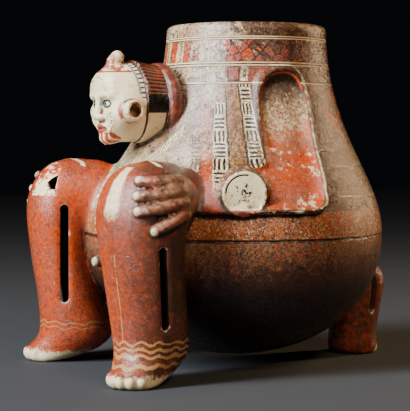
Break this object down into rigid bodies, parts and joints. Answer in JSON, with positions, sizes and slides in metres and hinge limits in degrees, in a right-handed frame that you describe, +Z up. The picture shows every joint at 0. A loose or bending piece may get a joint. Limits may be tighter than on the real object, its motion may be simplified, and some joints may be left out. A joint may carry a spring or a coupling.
{
  "type": "tripod effigy vase",
  "caption": "Hollow fired-clay vase on tripod legs, shaped as a seated figure: pear-shaped body, projecting head, hands resting on bent knees.",
  "frame": {"origin": "on the floor, under the middle of the bounding box", "axes": "+Z up out of the vase's mouth; the figure faces -Y and its left side is towards +X"},
  "size_m": [0.281, 0.3356, 0.312],
  "materials": {
    "burnished_earthenware": "burnished slip-painted earthenware, soft gloss, worn and speckled"
  },
  "bodies": {
    "root": {"tripod_vase": "burnished_earthenware"}
  },
  "joints": []
}
